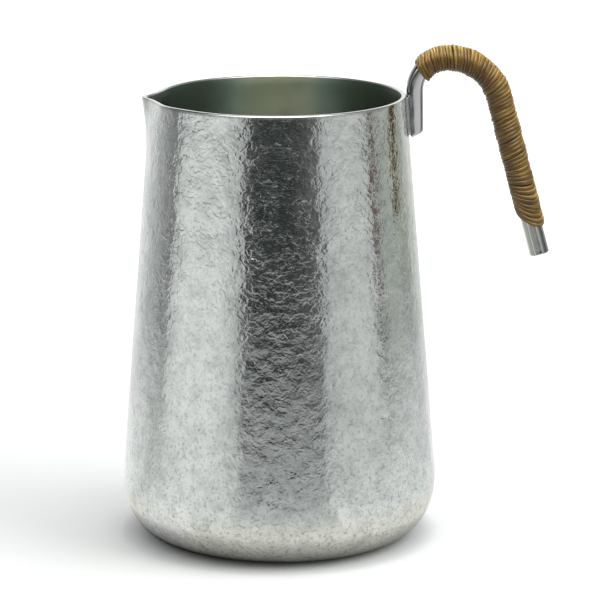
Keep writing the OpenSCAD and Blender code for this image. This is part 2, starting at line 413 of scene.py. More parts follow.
def crease_height(nodes, place):
    """Height of the curled creases of the chased tin, about -1 to 1, with a calm patch under the rim."""
    swirl = nodes.noise(place, CREASE_SWIRL_SIZE, detail=1.0, output="Color")
    swirl = nodes.vector("SUBTRACT", swirl, (0.5, 0.5, 0.5))
    bent = nodes.vector("ADD", place, nodes.vector("SCALE", swirl, scale=CREASE_SWIRL * MM))
    x, _, z = nodes.split(place)
    off_patch = nodes.math("ABSOLUTE", nodes.math("SUBTRACT", x, CALM_X * MM))
    in_patch = nodes.remap(off_patch, CALM_HALF_W * MM, CALM_END_W * MM, 1.0, 0.0)
    high = nodes.remap(z, CALM_LOW_Z * MM, CALM_FULL_Z * MM, 0.0, CALM)
    calm = nodes.math("MULTIPLY", in_patch, high)
    dense = nodes.math("SUBTRACT", nodes.noise(place, CREASE_PATCH_SIZE), calm)
    total = rolled_lines(nodes, place, calm)
    for size, width, height, read_at in CREASES:
        moved = nodes.vector("ADD", bent, (read_at * MM, 0.0, 0.0))
        level = nodes.noise(moved, size, detail=0.0)
        line = nodes.lines(level, width, interpolation_type="SMOOTHSTEP")
        broken = nodes.math("ADD", nodes.noise(moved, size * 1.4, detail=0.0), dense)
        mask = nodes.remap(broken, 0.84, 1.10, 0.0, 1.0)
        part = nodes.math("MULTIPLY", nodes.math("MULTIPLY", line, mask), height)
        total = nodes.math("ADD", total, part)
    crisp = nodes.remap(z, SOFT_Z * MM, CRISP_Z * MM, SOFT_SHARE, CRISP_SHARE)
    below_rim = nodes.remap(z, (CUP_H - CREASE_END_DROP) * MM, (CUP_H - BARE_RIM_DROP) * MM, 1.0, 0.0)
    return nodes.math("MULTIPLY", total, nodes.math("MULTIPLY", crisp, below_rim))


# Chased tin: sizes of its noises, depths of its bumps, and its colour where it is dull and bright
PLATE_SIZE, PLATE_DEPTH = 2.4, 0.072
CREASE_DEPTH = 0.050
TONE_SIZE, CLOUD_SIZE, GRAIN_SIZE = 9.0, 2.8, 0.8
TIN_DULL = (0.720, 0.768, 0.744)
TIN_BRIGHT = (0.852, 0.890, 0.864)
# Its specks are darker towards the foot: (height, brightness)
LOW_SPECK_Z, LOW_SPECK = 10.0, 0.60
HIGH_SPECK_Z, HIGH_SPECK = 100.0, 0.88


def chased_tin():
    """Bright tin, chased all over with fine curled creases."""
    material, nodes, shader, place = new_material("chased_tin")
    creases = crease_height(nodes, place)
    plates = nodes.noise(place, PLATE_SIZE, detail=3.0, roughness=0.6)
    tone = nodes.noise(place, TONE_SIZE, detail=3.0)
    cloud = nodes.noise(place, CLOUD_SIZE, detail=3.0, roughness=0.65)
    grain = nodes.noise(place, GRAIN_SIZE, detail=3.0, roughness=0.65)
    z = nodes.split(place)[2]
    darkest = nodes.remap(z, LOW_SPECK_Z * MM, HIGH_SPECK_Z * MM, LOW_SPECK, HIGH_SPECK)
    speck = nodes.remap(grain, 0.32, 0.49, darkest, 1.0)
    stain = nodes.remap(nodes.math("ABSOLUTE", creases), 0.08, 0.50, 1.0, 0.92)
    stain = nodes.math("MULTIPLY", stain, nodes.remap(cloud, 0.34, 0.56, 0.82, 1.0))
    shade = nodes.math("MULTIPLY", speck, stain)
    colour = nodes.ramp(tone, [(0.32, TIN_DULL), (0.68, TIN_BRIGHT)])
    shader.inputs["Metallic"].default_value = 1.0
    nodes.put(shader.inputs["Base Color"], nodes.vector("SCALE", colour, scale=shade))
    nodes.put(shader.inputs["Roughness"], nodes.remap(tone, 0.3, 0.7, 0.06, 0.10))
    nodes.put(shader.inputs["Normal"], nodes.bump(creases, CREASE_DEPTH, nodes.bump(plates, PLATE_DEPTH)))
    return material


# Turned inside: its grooves are drawn out round the cup
GROOVE_DRAW = (0.04, 0.04, 1.0)
GROOVE_SIZE, GROOVE_DEPTH = 0.25, 0.006
SATIN_CLOUD_SIZE = 8.0
SATIN_DARK = (0.238, 0.310, 0.255)
SATIN_PALE = (0.270, 0.350, 0.290)


def satin_tin():
    """The turned inside of the cup, whose fine grooves run round it."""
    material, nodes, shader, place = new_material("satin_tin")
    grooves = nodes.noise(nodes.scaled(place, GROOVE_DRAW), GROOVE_SIZE)
    cloud = nodes.noise(place, SATIN_CLOUD_SIZE, detail=3.0)
    around = nodes.add("Tangent", direction_type="RADIAL", axis="Z").outputs[0]
    shader.inputs["Metallic"].default_value = 1.0
    nodes.put(shader.inputs["Base Color"], nodes.ramp(cloud, [(0.3, SATIN_DARK), (0.7, SATIN_PALE)]))
    nodes.put(shader.inputs["Roughness"], nodes.remap(cloud, 0.3, 0.7, 0.36, 0.41))
    shader.inputs["Anisotropic"].default_value = 0.97
    shader.inputs["Anisotropic Rotation"].default_value = 0.25
    nodes.put(shader.inputs["Tangent"], around)
    nodes.put(shader.inputs["Normal"], nodes.bump(grooves, GROOVE_DEPTH))
    return material


# Painted shade on the bar's shank by how far its surface faces the handle's side, darkest on the side by the
# cup: (facing, what is left of its colour)
SHANK_PAINTED_SHADE = ((0.0, 0.46), (0.33, 0.46), (0.43, 1.0))
REFLECTED_BRIGHT = (1.0, 1.0, 0.91)
REFLECTED_GREY = (0.72, 0.74, 0.66)
REFLECTED_DARK = (0.30, 0.32, 0.31)
# Painted reflection on the free end: bright, grey and dark bands by how far its surface faces the handle's
# side: (facing, colour)
END_PAINTED_REFLECTION = (
    (0.26, REFLECTED_BRIGHT),
    (0.34, REFLECTED_GREY),
    (0.42, REFLECTED_GREY),
    (0.50, REFLECTED_BRIGHT),
    (0.64, REFLECTED_BRIGHT),
    (0.76, REFLECTED_DARK),
    (0.84, REFLECTED_DARK),
    (0.93, REFLECTED_BRIGHT),
)
# The free end lies below the first height, and the shank above the second
END_Z, SHANK_LOW_Z = 88.0, 94.0
METAL_GRAIN_SIZE, METAL_CLOUD_SIZE = 0.3, 3.0
METAL_DULL_SHARE = 0.93


def bar_painted_light(nodes, place):
    """Painted light on the bar: painted shade on the shank's side by the cup, and painted reflection in
    streaks along the free end.
    """
    facing = nodes.facing(0)
    shank = nodes.ramp(facing, SHANK_PAINTED_SHADE)
    free_end = nodes.ramp(facing, END_PAINTED_REFLECTION)
    high = nodes.remap(nodes.split(place)[2], END_Z * MM, SHANK_LOW_Z * MM, 0.0, 1.0)
    return nodes.blend(high, free_end, shank)


def polished_metal(name, colour, roughness, draw=(1.0, 1.0, 1.0), depth=0.004, painted_light=None):
    """Polished metal with faint marks of the polishing, which draw can draw out into streaks. Where
    painted_light is given, its painted light and shade multiply the colour.
    """
    material, nodes, shader, place = new_material(name)
    grain = nodes.noise(nodes.scaled(place, draw), METAL_GRAIN_SIZE)
    cloud = nodes.noise(place, METAL_CLOUD_SIZE, detail=3.0)
    dull = tuple(METAL_DULL_SHARE * c for c in colour)
    shade = nodes.ramp(cloud, [(0.3, dull), (0.7, colour)])
    if painted_light is not None:
        # Painted light and shade multiply the colour here
        shade = nodes.vector("MULTIPLY", shade, painted_light(nodes, place))
    shader.inputs["Metallic"].default_value = 1.0
    nodes.put(shader.inputs["Base Color"], shade)
    nodes.put(shader.inputs["Roughness"], nodes.remap(cloud, 0.3, 0.7, roughness * 0.8, roughness * 1.25))
    nodes.put(shader.inputs["Normal"], nodes.bump(grain, depth))
    return material


# Tones of the rattan: (noise level, colour)
RATTAN_TONES = (
    (0.30, (0.135, 0.078, 0.016)),
    (0.42, (0.240, 0.146, 0.033)),
    (0.56, (0.340, 0.218, 0.054)),
    (0.70, (0.600, 0.430, 0.150)),
)
# Painted light and shade by how far its surface faces up: a painted highlight on top, and darker, more
# saturated painted shade below: (facing, factor of its colour)
RATTAN_PAINTED_LIGHT = (
    (0.47, (0.864, 0.768, 0.576)),
    (0.64, (0.960, 0.888, 0.720)),
    (0.80, (1.104, 1.080, 0.936)),
    (0.94, (2.328, 2.400, 2.400)),
)
# Noise features over the strip's width, and in each millimetre along it
FIBRES_ACROSS, FIBRES_ALONG = 3.4, 0.24
TONES_ACROSS, TONES_ALONG = 0.6, 0.09
# Features in each millimetre along the strip of the painted shade in the grooves between turns
GROOVE_SHADE_ALONG = 0.22
STAIN_SIZE, STAIN_SHARE = 6.0, 0.25
FIBRE_DEPTH = 0.10


def split_rattan():
    """Split rattan with its glossy skin outside and fibres along the strip. Its colour carries a painted
    highlight on top, painted shade below and painted shade in the grooves at the strip's edges.
    """
    material, nodes, shader, place = new_material("split_rattan")
    across, along, _ = nodes.split(nodes.add("UVMap", uv_map="strip").outputs[0])

    def strip_noise(features_across, features_along, detail=2.0):
        """Noise in the strip's own coordinates."""
        x = nodes.math("MULTIPLY", across, features_across)
        y = nodes.math("MULTIPLY", along, features_along)
        node = nodes.add("TexNoise")
        nodes.put(node.inputs["Vector"], nodes.add("CombineXYZ", x, y).outputs[0])
        nodes.put(node.inputs["Scale"], 1.0)
        nodes.put(node.inputs["Detail"], detail)
        return node.outputs[0]

    fibres = strip_noise(FIBRES_ACROSS, FIBRES_ALONG, detail=1.5)
    tones = nodes.math("MULTIPLY", strip_noise(TONES_ACROSS, TONES_ALONG), 1 - STAIN_SHARE)
    stain = nodes.math("MULTIPLY", nodes.noise(place, STAIN_SIZE), STAIN_SHARE)
    colour = nodes.ramp(nodes.math("ADD", tones, stain), RATTAN_TONES)
    colour = nodes.vector("SCALE", colour, scale=nodes.remap(fibres, 0.36, 0.60, 0.48, 1.30))
    # Painted highlight on top and painted shade below, by how far the surface faces up
    colour = nodes.vector("MULTIPLY", colour, nodes.ramp(nodes.facing(2), RATTAN_PAINTED_LIGHT))
    # Painted shade in the grooves between turns: darker towards the strip's edges, by an amount that wanders
    # along it
    off_middle = nodes.math("ABSOLUTE", nodes.math("SUBTRACT", nodes.math("MULTIPLY", across, 2.0), 1.0))
    darkest = nodes.remap(strip_noise(0.0, GROOVE_SHADE_ALONG), 0.35, 0.60, 0.20, 0.85)
    edge = nodes.remap(off_middle, 0.60, 1.0, 1.0, darkest)
    nodes.put(shader.inputs["Base Color"], nodes.vector("SCALE", colour, scale=edge))
    nodes.put(shader.inputs["Roughness"], nodes.remap(fibres, 0.3, 0.7, 0.28, 0.50))
    shader.inputs["Specular IOR Level"].default_value = 0.7
    shader.inputs["Coat Weight"].default_value = 0.20
    shader.inputs["Coat Roughness"].default_value = 0.22
    nodes.put(shader.inputs["Normal"], nodes.bump(fibres, FIBRE_DEPTH))
    return material


# The cup

AROUND = 560
AROUND_INSIDE = 140
HEEL_ROWS = 30
WALL_ROWS = 121
INSIDE_ROWS = 44
INSIDE_HEEL_ROWS = 18
# Rows of the flat foot and of the floor inside: (share of the foot's radius, points around)
FOOT_ROWS = ((0.12, 35), (0.24, 70), (0.45, 140), (0.7, 280), (0.88, AROUND))
FLOOR_ROWS = ((0.7, 140), (0.4, 70), (0.15, 35))
FOOT_RELIEF_SHARE = 0.5
# Height below the rim over which the relief fades
RELIEF_FADE_H = 1.8
# Materials of the cup by their index
CHASED, POLISHED, SATIN = 0, 1, 2
RIM_COLOUR = (0.86, 0.87, 0.86)
RIM_ROUGHNESS = 0.16


def rim_corner(edge_r, go, angles):
    """Points (r, z) round a corner of the rim at edge_r. go is -1 for the outer corner, 1 for the inner."""
    for a in np.radians(angles):
        yield edge_r + go * RIM_BEVEL * (1 - math.cos(a)), CUP_H - RIM_BEVEL + RIM_BEVEL * math.sin(a)


def cup_rows():
    """Rows of the cup from the middle of its underside, over the rim, to the middle of its floor.

    Each row is (points around, r, z, share of the relief, material of the band before it).
    """
    rows = []
    for share, around in FOOT_ROWS:
        rows.append((around, FOOT_R * share, 0.0, FOOT_RELIEF_SHARE, CHASED))
    for r, z in heel_curve(HEEL_R, 0.0, HEEL_ROWS)[::-1]:
        rows.append((AROUND, r, z, 1.0, CHASED))
    top = CUP_H - RIM_BEVEL
    for i in range(1, WALL_ROWS + 1):
        z = HEEL_H + (top - HEEL_H) * i / WALL_ROWS
        rows.append((AROUND, wall_r(z), z, float(smooth_step((top - z) / RELIEF_FADE_H)), CHASED))
    for r, z in rim_corner(RIM_R, -1, (22.5, 45.0, 67.5, 90.0)):
        rows.append((AROUND, r, z, 0.0, POLISHED))
    for r, z in rim_corner(RIM_R - WALL_T, 1, (90.0, 60.0, 30.0, 0.0)):
        rows.append((AROUND, r, z, 0.0, POLISHED))
    for i in range(1, INSIDE_ROWS):
        z = top + (HEEL_H - top) * i / INSIDE_ROWS
        rows.append((AROUND_INSIDE, wall_r(z) - WALL_T, z, 0.0, SATIN))
    for r, z in heel_curve(HEEL_R - WALL_T, BASE_T, INSIDE_HEEL_ROWS):
        rows.append((AROUND_INSIDE, r, z, 0.0, SATIN))
    for share, around in FLOOR_ROWS:
        rows.append((around, FOOT_R * share, BASE_T, 0.0, SATIN))
    return rows


def make_cup():
    """The cup as one closed skin, with its lip and its chased surface."""
    rows = cup_rows()
    profile = np.array([(r, z) for _, r, z, _, _ in rows])
    slope = np.gradient(profile, axis=0)
    slope /= np.linalg.norm(slope, axis=1)[:, None]
    blocks, starts, faces, face_materials = [], [], [], []
    count = 0
    for (around, r, z, share, _), (slope_r, slope_z) in zip(rows, slope):
        turn = 2 * math.pi * np.arange(around) / around
        from_tip = np.degrees((turn + math.pi) % (2 * math.pi) - math.pi)
        out = -np.stack([np.cos(turn), np.sin(turn)], axis=1)
        height = z - lip_drop(from_tip, z)
        radius = r - WALL_SLOPE * (height - z) + lip_move(from_tip, height)
        points = np.column_stack([out * radius[:, None], height])
        if share > 0:
            depth = share * relief(points)
            points[:, :2] += out * (depth * slope_z)[:, None]
            points[:, 2] = np.maximum(points[:, 2] - depth * slope_r, 0.0)
        starts.append(count)
        blocks.append(points)
        count += around
    for i in range(1, len(rows)):
        added = band(starts[i - 1], rows[i - 1][0], starts[i], rows[i][0])
        faces.extend(added)
        face_materials.extend([rows[i][4]] * len(added))
    for i, material in ((0, CHASED), (len(rows) - 1, SATIN)):
        faces.append(tuple(starts[i] + j for j in range(rows[i][0])))
        face_materials.append(material)
    materials = [chased_tin(), polished_metal("polished_rim", RIM_COLOUR, RIM_ROUGHNESS), satin_tin()]
    piece = make_object("chased_cup", np.vstack(blocks), faces, materials, face_materials)
    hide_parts("cup")
    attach(piece, BODY)


# Centreline of the handle bar, in the XZ plane. s is the way along it from the foot of the shank.

SHANK_LEAN = math.degrees(math.atan(WALL_SLOPE)) - SHANK_LAG
SHANK_Z = CUP_H - SHANK_DROP
SHANK_X = wall_r(SHANK_Z) + SOLDER_T + SHANK_T / 2
BEND_IN_RISE = BEND_IN_R * (1 + math.sin(math.radians(SHANK_LEAN)))
SHANK_L = (CUP_H + CROWN_H - BEND_IN_RISE - SHANK_Z) / math.cos(math.radians(SHANK_LEAN))
IN_END = SHANK_L + BEND_IN_R * math.radians(90 + SHANK_LEAN)
OUT_END = IN_END + BEND_OUT_R * math.radians(90 - LEG_LEAN)
BAR_L = OUT_END + LEG_L
WRAP_START = SHANK_L + BEND_IN_R * math.radians(BARE_A)
WRAP_L = BAR_L - BARE_END - WRAP_START


def turned(angle):
    angle = np.radians(angle)
    return np.stack([np.cos(angle), np.sin(angle)], axis=-1)


FOOT_POINT = np.array([SHANK_X, SHANK_Z])
IN_START_POINT = FOOT_POINT + SHANK_L * turned(90 + SHANK_LEAN)
IN_CENTRE = IN_START_POINT - BEND_IN_R * turned(180 + SHANK_LEAN)
OUT_CENTRE = IN_CENTRE + np.array([0, BEND_IN_R - BEND_OUT_R])
OUT_END_POINT = OUT_CENTRE + BEND_OUT_R * turned(LEG_LEAN)


def heading(s):
    """Direction of the bar at s, in degrees above +X."""
    return np.select(
        [s < SHANK_L, s < IN_END, s < OUT_END],
        [90 + SHANK_LEAN, np.degrees((IN_END - s) / BEND_IN_R), np.degrees((IN_END - s) / BEND_OUT_R)],
        LEG_LEAN - 90,
    )


def bar_point(s):
    s = np.asarray(s, float)
    side = turned(heading(s) + 90)
    straight = s[..., None]
    return np.select(
        [straight < SHANK_L, straight < IN_END, straight < OUT_END],
        [
            FOOT_POINT + straight * turned(90 + SHANK_LEAN),
            IN_CENTRE + BEND_IN_R * side,
            OUT_CENTRE + BEND_OUT_R * side,
        ],
        OUT_END_POINT + (straight - OUT_END) * turned(LEG_LEAN - 90),
    )


def bend(s):
    """Curvature of the centreline."""
    return np.select([s < SHANK_L, s < IN_END, s < OUT_END], [0.0, 1 / BEND_IN_R, 1 / BEND_OUT_R], 0.0)


def at_bar(s, out, y, along=0.0):
    """Points at s along the bar, out of its bend, y across it and a little further along."""
    s, out, y, along = np.broadcast_arrays(s, out, y, along)
    flat = bar_point(s) + out[..., None] * turned(heading(s) + 90) + along[..., None] * turned(heading(s))
    return np.stack([flat[..., 0], y, flat[..., 1]], axis=-1)


def corner(value, power):
    return np.sign(value) * np.abs(value) ** (2 / power)


def bar_edge(s, angle, grow=0.0):
    """Section of the bar: how far out and how far across its surface lies at an angle."""
    grow = grow - BAR_FIT
    thick = np.interp(s, [0, SHANK_L, WRAP_START, IN_END], [SHANK_T, NECK_T, NECK_T, BAR_D])
    flat = thick * np.interp(s, [SHANK_L, IN_END], [FLAT_SIDE_SHARE, 0.5])
    half_w = np.interp(s, [SHANK_L, IN_END], [SHANK_W, BAR_D]) / 2
    power = np.interp(s, [SHANK_L, IN_END], [FLAT_POWER, ROUND_POWER])
    taper = np.interp(s, [SHANK_L, IN_END], [FLAT_TAPER, 0.0])
    cosine, sine = np.cos(np.radians(angle)), np.sin(np.radians(angle))
    reach = np.where(cosine > 0, flat, thick - flat)
    out_share = corner(cosine, power)
    return (
        thick / 2 - flat + (reach + grow) * out_share,
        (half_w + grow) * corner(sine, power) * (1 - taper * np.maximum(-out_share, 0)),
    )


BAR_SIDES = 56
BAR_STEP = 0.45
# The saw-cut foot: how far each ring is set in, and the way along the bar over which the cut levels out
CUT_INSETS = (0.30, 0.16, 0.05)
CUT_FADE_L = 4.0
END_ANGLES = (0.0, 25.0, 50.0, 72.0, 90.0)
# Hammer marks: their size, their depth and the mean depth that keeps them inside the solid
HAMMER_SIZE, HAMMER_DEPTH, HAMMER_MEAN = 2.8, 0.028, 0.02
# How far under the winding the bar is painted dark, as painted shade in the gaps between turns
PAINTED_SHADE_START = 2.5
BAR_COLOUR = (0.72, 0.735, 0.745)
BAR_ROUGHNESS = 0.11
BAR_DRAW = (1.0, 1.0, 0.12)
BAR_GRAIN_DEPTH = 0.005
PAINTED_SHADE_COLOUR = (0.055, 0.035, 0.016)
PAINTED_SHADE_ROUGHNESS = 0.6


def make_bar():
    """The solid bar: saw-cut foot, hammered shank, bends, leg and rounded free end."""
    angle = 360 * np.arange(BAR_SIDES) / BAR_SIDES
    cut_slope = math.tan(math.radians(SHANK_CUT_A))
    rings, ring_places = [], []
    for inset in CUT_INSETS:
        out, y = bar_edge(0.0, angle, -inset)
        ring_places.append(0.0)
        rings.append(at_bar(BAR_STEP - inset * 1.5, out, y, -out * cut_slope))
    for s in np.arange(0.5, BAR_L - END_ROUND, BAR_STEP):
        out, y = bar_edge(s, angle)
        cut = -out * cut_slope * max(0.0, 1 - s / CUT_FADE_L)
        dent = HAMMER_DEPTH * noise(at_bar(s, out, y, cut) / HAMMER_SIZE, 21) - HAMMER_MEAN
        ring_places.append(s)
        rings.append(at_bar(s, out * (1 + dent / 2), y * (1 + dent / 2), cut))
    for a in np.radians(END_ANGLES):
        s = BAR_L - END_ROUND + END_ROUND * math.sin(a)
        out, y = bar_edge(s, angle, -END_ROUND * (1 - math.cos(a)))
        ring_places.append(s)
        rings.append(at_bar(s, out, y))
    # The bar's colour carries painted shade on the shank and painted reflection bands on the free end
    metal = polished_metal("polished_bar", BAR_COLOUR, BAR_ROUGHNESS, BAR_DRAW, BAR_GRAIN_DEPTH, bar_painted_light)
    # Painted shade: the bar is dark brown under the winding, so that the gaps between turns look shaded
    hidden = polished_metal("bar_painted_shade", PAINTED_SHADE_COLOUR, PAINTED_SHADE_ROUGHNESS)
    first_painted_shade, last_painted_shade = WRAP_START + PAINTED_SHADE_START, BAR_L - BARE_END - PAINTED_SHADE_START
    painted_shade_rings = [int(first_painted_shade < s < last_painted_shade) for s in ring_places[1:]]
    face_materials = [index for index in painted_shade_rings for _ in range(BAR_SIDES)] + [0, 0]
    faces = tube_faces(len(rings), BAR_SIDES)
    piece = make_object("hook_bar", np.vstack(rings), faces, [metal, hidden], face_materials)
    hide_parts("handle_bar")
    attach(piece, BODY)


# The solder: its line beside the shank lies a little under the shank's edge
FILLET_TUCK = 0.15
FILLET_LOW, FILLET_TOP_DROP = 0.1, 0.25
FILLET_TURN_H = 0.8
FILLET_SIDE_STEPS, FILLET_FOOT_STEPS = 40, 26
# Its hollow outside: (share of its width, share of its height)
FILLET_SECTION = ((0.0, 1.0), (0.12, 0.62), (0.30, 0.34), (0.58, 0.13), (1.0, 0.0))
# Its width as a share of the solid's fillet, its height, and how far both wander
FILLET_RUN, FILLET_RUN_WANDER = 0.24, 0.12
FILLET_RISE, FILLET_RISE_WANDER = 0.50, 0.15
# Thickness of its thin edge, and how far its hidden side reaches into the wall and under the shank
FILLET_EDGE_T, FILLET_ROOT = 0.02, 0.5
FILLET_UNDER_Y, FILLET_UNDER_Z = 0.7, 0.3
FILLET_UNDER_ROOT, FILLET_IN_SHANK = 0.4, 0.5
SOLDER_COLOUR = (0.47, 0.48, 0.475)
SOLDER_ROUGHNESS = 0.26
SOLDER_GRAIN_DEPTH = 0.02


def wall_x(y, z):
    """How far along +X the outside of the cup's wall lies."""
    return math.sqrt(wall_r(z) ** 2 - y * y)


def make_solder():
    """A concave fillet of solder that runs down one side of the shank, under its foot and up again."""
    half_w = SHANK_W / 2 - FILLET_TUCK
    low_z, top_z = SHANK_Z - FILLET_LOW, CUP_H - FILLET_TOP_DROP
    turn_z = low_z + FILLET_TURN_H
    path = [(-half_w, z, -1.0, 0.0) for z in np.linspace(top_z, turn_z, FILLET_SIDE_STEPS)]
    for t in np.linspace(0, 1, FILLET_FOOT_STEPS)[1:-1]:
        go_y, go_z = -math.cos(math.pi * t), -math.sin(math.pi * t)
        path.append((half_w * go_y, turn_z + FILLET_TURN_H * go_z, go_y, go_z))
    path += [(half_w, z, 1.0, 0.0) for z in np.linspace(turn_z, top_z, FILLET_SIDE_STEPS)]
    rings = []
    for i, (y, z, go_y, go_z) in enumerate(path):
        run = FILLET_W * (FILLET_RUN + FILLET_RUN_WANDER * float(line_noise(i * 0.23, 31)))
        rise = FILLET_RISE + FILLET_RISE_WANDER * float(line_noise(i * 0.19, 32))
        ring = []
        for across, up in FILLET_SECTION:
            yy, zz = y + go_y * run * across, z + go_z * run * across
            ring.append((wall_x(yy, zz) + FILLET_EDGE_T + rise * up, yy, zz))
        # The last three points close the ring, two of them inside the wall and one inside the shank
        ring.append((wall_x(yy, zz) - FILLET_ROOT, y + go_y * run * 0.9, z + go_z * run * 0.9))
        under_y, under_z = y - go_y * FILLET_UNDER_Y, z - go_z * FILLET_UNDER_Z
        ring.append((wall_x(y, z) - FILLET_UNDER_ROOT, under_y, under_z))
        ring.append((wall_x(y, z) + FILLET_IN_SHANK, under_y, under_z))
        rings.append(np.array(ring))
    metal = polished_metal("bright_solder", SOLDER_COLOUR, SOLDER_ROUGHNESS, depth=SOLDER_GRAIN_DEPTH)
    piece = make_object("solder_fillet", np.vstack(rings), tube_faces(len(rings), len(rings[0])), [metal])
    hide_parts("solder_joint")
    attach(piece, BODY)


# The rattan winding

TURNS = 62
TURN_RINGS = 36
# How much wider the turns lie at the end of the winding than in its middle
PITCH_SPREAD = 0.17
# Section of the strip: share of its half width, and share of its thickness
STRIP_SECTION = (
    (-0.90, 0.0),
    (-1.0, 0.28),
    (-0.95, 0.56),
    (-0.78, 0.80),
    (-0.44, 0.96),
    (0.0, 1.0),
    (0.44, 0.96),
    (0.78, 0.80),
    (0.95, 0.56),
    (1.0, 0.28),
    (0.90, 0.0),
)
# Where the winding has slipped open: (turn, width of the opening in millimetres)
SLIPS = (
    (11.5, 0.10),
    (22.4, 0.12),
    (28.3, 0.16),
    (35.7, 0.26),
    (41.6, 0.20),
    (46.2, 0.16),
    (52.6, 0.24),
    (55.0, 0.20),
)
# Share of a turn over which such an opening comes about
SLIP_TURNS = 0.35
STRIP_PITCH = (WRAP_L - sum(wide for _, wide in SLIPS)) / (TURNS + 1)
# The strip's least width, its thickness, and its lift off the bar
LEAST_W = 0.60
STRIP_THICK = 0.54
STRIP_LIFT = 0.11
# Its width as a share of the room between its neighbours, and how far its edge rises on the turn before
STRIP_W_SHARE = 1.04
LAP, LAP_GAIN, LEAST_LAP, MOST_LAP = 0.10, 0.6, 0.02, 0.30
# Thickest place of the strip with its lift, as a share of the room that the solid gives
FULL_SHARE = 0.97


def wander(turn, size, per_turn, seed):
    """A slow uneven change along the winding, up to about size, with this many swings in each turn."""
    return size * line_noise(turn * per_turn, seed)


def strip_shift(turn, angle):
    """How far a place of a turn lies along the bar from the turn's middle."""
    share = turn / TURNS
    first = 1 - smooth_step(share / FIRST_LEAD_SHARE)
    last = smooth_step((share - 1 + LAST_LEAD_SHARE) / LAST_LEAD_SHARE)
    lead = MIDDLE_LEAD + (FIRST_LEAD - MIDDLE_LEAD) * first
    lead = lead + (LAST_LEAD - lead) * last + wander(turn, 0.55, 0.27, 41)
    slant = (lead + STRIP_PITCH / 2) / 2
    sag = LAST_SAG * last + wander(turn, 0.20, 0.39, 44)
    return slant * np.cos(angle) - sag * np.sin(angle)


def slip(turn):
    """How far the openings before a turn have moved it along the bar."""
    return sum(wide * smooth_step((turn - after) / SLIP_TURNS + 0.5) for after, wide in SLIPS)


def strip_place(turn, angle):
    """Where the middle of the strip lies along the bar."""
    share = turn / TURNS
    even = share - PITCH_SPREAD * share * (1 - share)
    wobble = wander(turn, 0.20, 0.71, 42) + wander(turn, 0.10, 2.3, 43)
    return WRAP_START + STRIP_PITCH * (0.5 + TURNS * even + wobble) + slip(turn) + strip_shift(turn, angle)


def make_winding():
    """One flat strip wound from the inner bend to the leg, each turn's edge lapped on the last."""
    steps = TURNS * TURN_RINGS
    turn = np.arange(steps + 1) / TURN_RINGS
    degrees = FIRST_A - 360 * turn
    angle = np.radians(degrees)
    s = strip_place(turn, angle)
    out, _ = bar_edge(s, degrees, WRAP_GAP + STRIP_T / 2)
    ahead = strip_place(turn + 1, angle) - s - slip(turn + 1) + slip(turn)
    behind = s - strip_place(turn - 1, angle) - slip(turn) + slip(turn - 1)
    space = np.maximum(ahead, behind) * (1 + out * bend(s))
    width = np.maximum(space * (STRIP_W_SHARE + wander(turn, 0.14, 0.57, 45)), LEAST_W)
    lap = np.clip(LAP + (width - space) * LAP_GAIN, LEAST_LAP, MOST_LAP)
    thick = STRIP_THICK + wander(turn, 0.06, 0.77, 46)
    lift = np.maximum(STRIP_LIFT + wander(turn, 0.15, 0.93, 47) + wander(turn, 0.06, 5.1, 48), 0.0)
    rings = []
    for across, up in STRIP_SECTION:
        rise = np.minimum(lift + lap * (1 - across) / 2 + thick * up, STRIP_T * FULL_SHARE)
        o, y = bar_edge(s, degrees, WRAP_GAP + rise)
        rings.append(at_bar(s, o, y, across * width / 2))
    points = np.stack(rings, axis=1).reshape(-1, 3)
    sides = len(STRIP_SECTION)
    piece = make_object("rattan_strip", points, tube_faces(steps + 1, sides), [split_rattan()])
    mesh = piece.data
    lengths = np.linalg.norm(np.diff(rings[sides // 2], axis=0), axis=1)
    along = np.concatenate([[0], np.cumsum(lengths)])
    across_share = np.array([(a + 1) / 2 for a, _ in STRIP_SECTION])
    corner_point = np.zeros(len(mesh.loops), int)
    mesh.loops.foreach_get("vertex_index", corner_point)
    uv = np.stack([across_share[corner_point % sides], along[corner_point // sides]], axis=1)
    mesh.uv_layers.new(name="strip").data.foreach_set("uv", uv.ravel())
    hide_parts("rattan_winding")
    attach(piece, BODY)


# Camera: its distance and target in millimetres, and its focal length in pixels of the picture

CAMERA_BACK = 820.0
CAMERA_ELEVATION_A = 13.039
CAMERA_ROLL_A = -0.103
CAMERA_TARGET = (5.401, 0.0, 60.531)
FOCAL_PIXELS = 3220.6
PICTURE_PIXELS = 600
SENSOR_W = 36.0


def make_camera():
    data = bpy.data.cameras.new("camera")
    data.sensor_width = SENSOR_W
    data.lens = SENSOR_W * FOCAL_PIXELS / PICTURE_PIXELS
    data.clip_start, data.clip_end = 0.05, 20.0
    camera = add_object("camera", data)
    elevation = math.radians(CAMERA_ELEVATION_A)
    back = Vector((0, -math.cos(elevation), math.sin(elevation))) * CAMERA_BACK
    camera.location = (Vector(CAMERA_TARGET) + back) * MM
    tilt = Euler((math.pi / 2 - elevation, 0, 0)).to_matrix()
    camera.rotation_euler = (tilt @ Matrix.Rotation(math.radians(CAMERA_ROLL_A), 3, "Z")).to_euler()
    bpy.context.scene.camera = camera


# Floor, in metres: its sides, its colour and its glow to the camera
FLOOR_LEFT, FLOOR_RIGHT, FLOOR_FRONT, FLOOR_BACK = -2.5, 2.5, -1.2, 6.0
FLOOR_COLOUR = (0.930, 0.953, 0.955)
FOOT_GLOW, FLOOR_GLOW, FAR_GLOW = 0.01, 0.07, 0.45
# Painted contact shadow: it is darker within the first of these distances from the cup's axis, and plain
# from the second
CONTACT_R, CONTACT_END_R, CONTACT_SHADE = 0.032, 0.041, 0.72
# Its glow grows over these distances: by the foot, where the lesser glow deepens the painted contact shadow,
# and then out to the far floor
NEAR_GLOW_R, NEAR_GLOW_END_R = 0.034, 0.046
FAR_GLOW_R, FAR_GLOW_END_R = 0.13, 0.45


